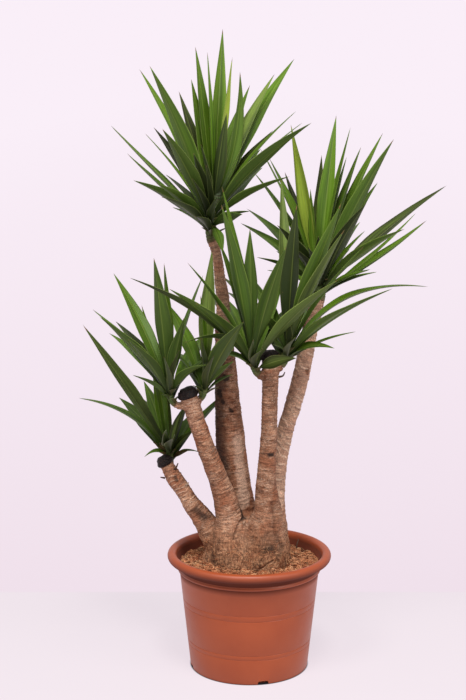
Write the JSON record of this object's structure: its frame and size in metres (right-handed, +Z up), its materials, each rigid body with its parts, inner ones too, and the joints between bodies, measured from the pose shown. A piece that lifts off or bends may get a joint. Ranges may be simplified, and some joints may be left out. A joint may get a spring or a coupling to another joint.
{
  "type": "potted yucca",
  "caption": "Potted yucca with bare brown canes grown from one swollen foot, sword-leaved green heads, coir and a terracotta-coloured plastic pot.",
  "frame": {"origin": "middle of the pot's flat underside, on the surface that it stands on", "axes": "+Z up along the pot's axis; -Y towards the viewer of the front; +X to the viewer's right"},
  "size_m": [0.922, 0.6673, 1.5423],
  "materials": {
    "pot_plastic": "satin moulded plastic, terracotta colour",
    "coir": "loose brown fibre",
    "bark": "rough reddish-brown bark with pale flakes",
    "wax": "dark dull wax",
    "leaf": "satin green leaf"
  },
  "bodies": {
    "root": {"pot": "pot_plastic", "soil": "coir", "trunk": "bark", "wax_seal_low": "wax", "wax_seal_left": "wax", "wax_seal_front": "wax", "head_tall": "leaf", "head_right": "leaf", "head_front_left": "leaf", "head_front_right": "leaf", "head_left": "leaf", "head_middle": "leaf", "head_low": "leaf"}
  },
  "joints": []
}
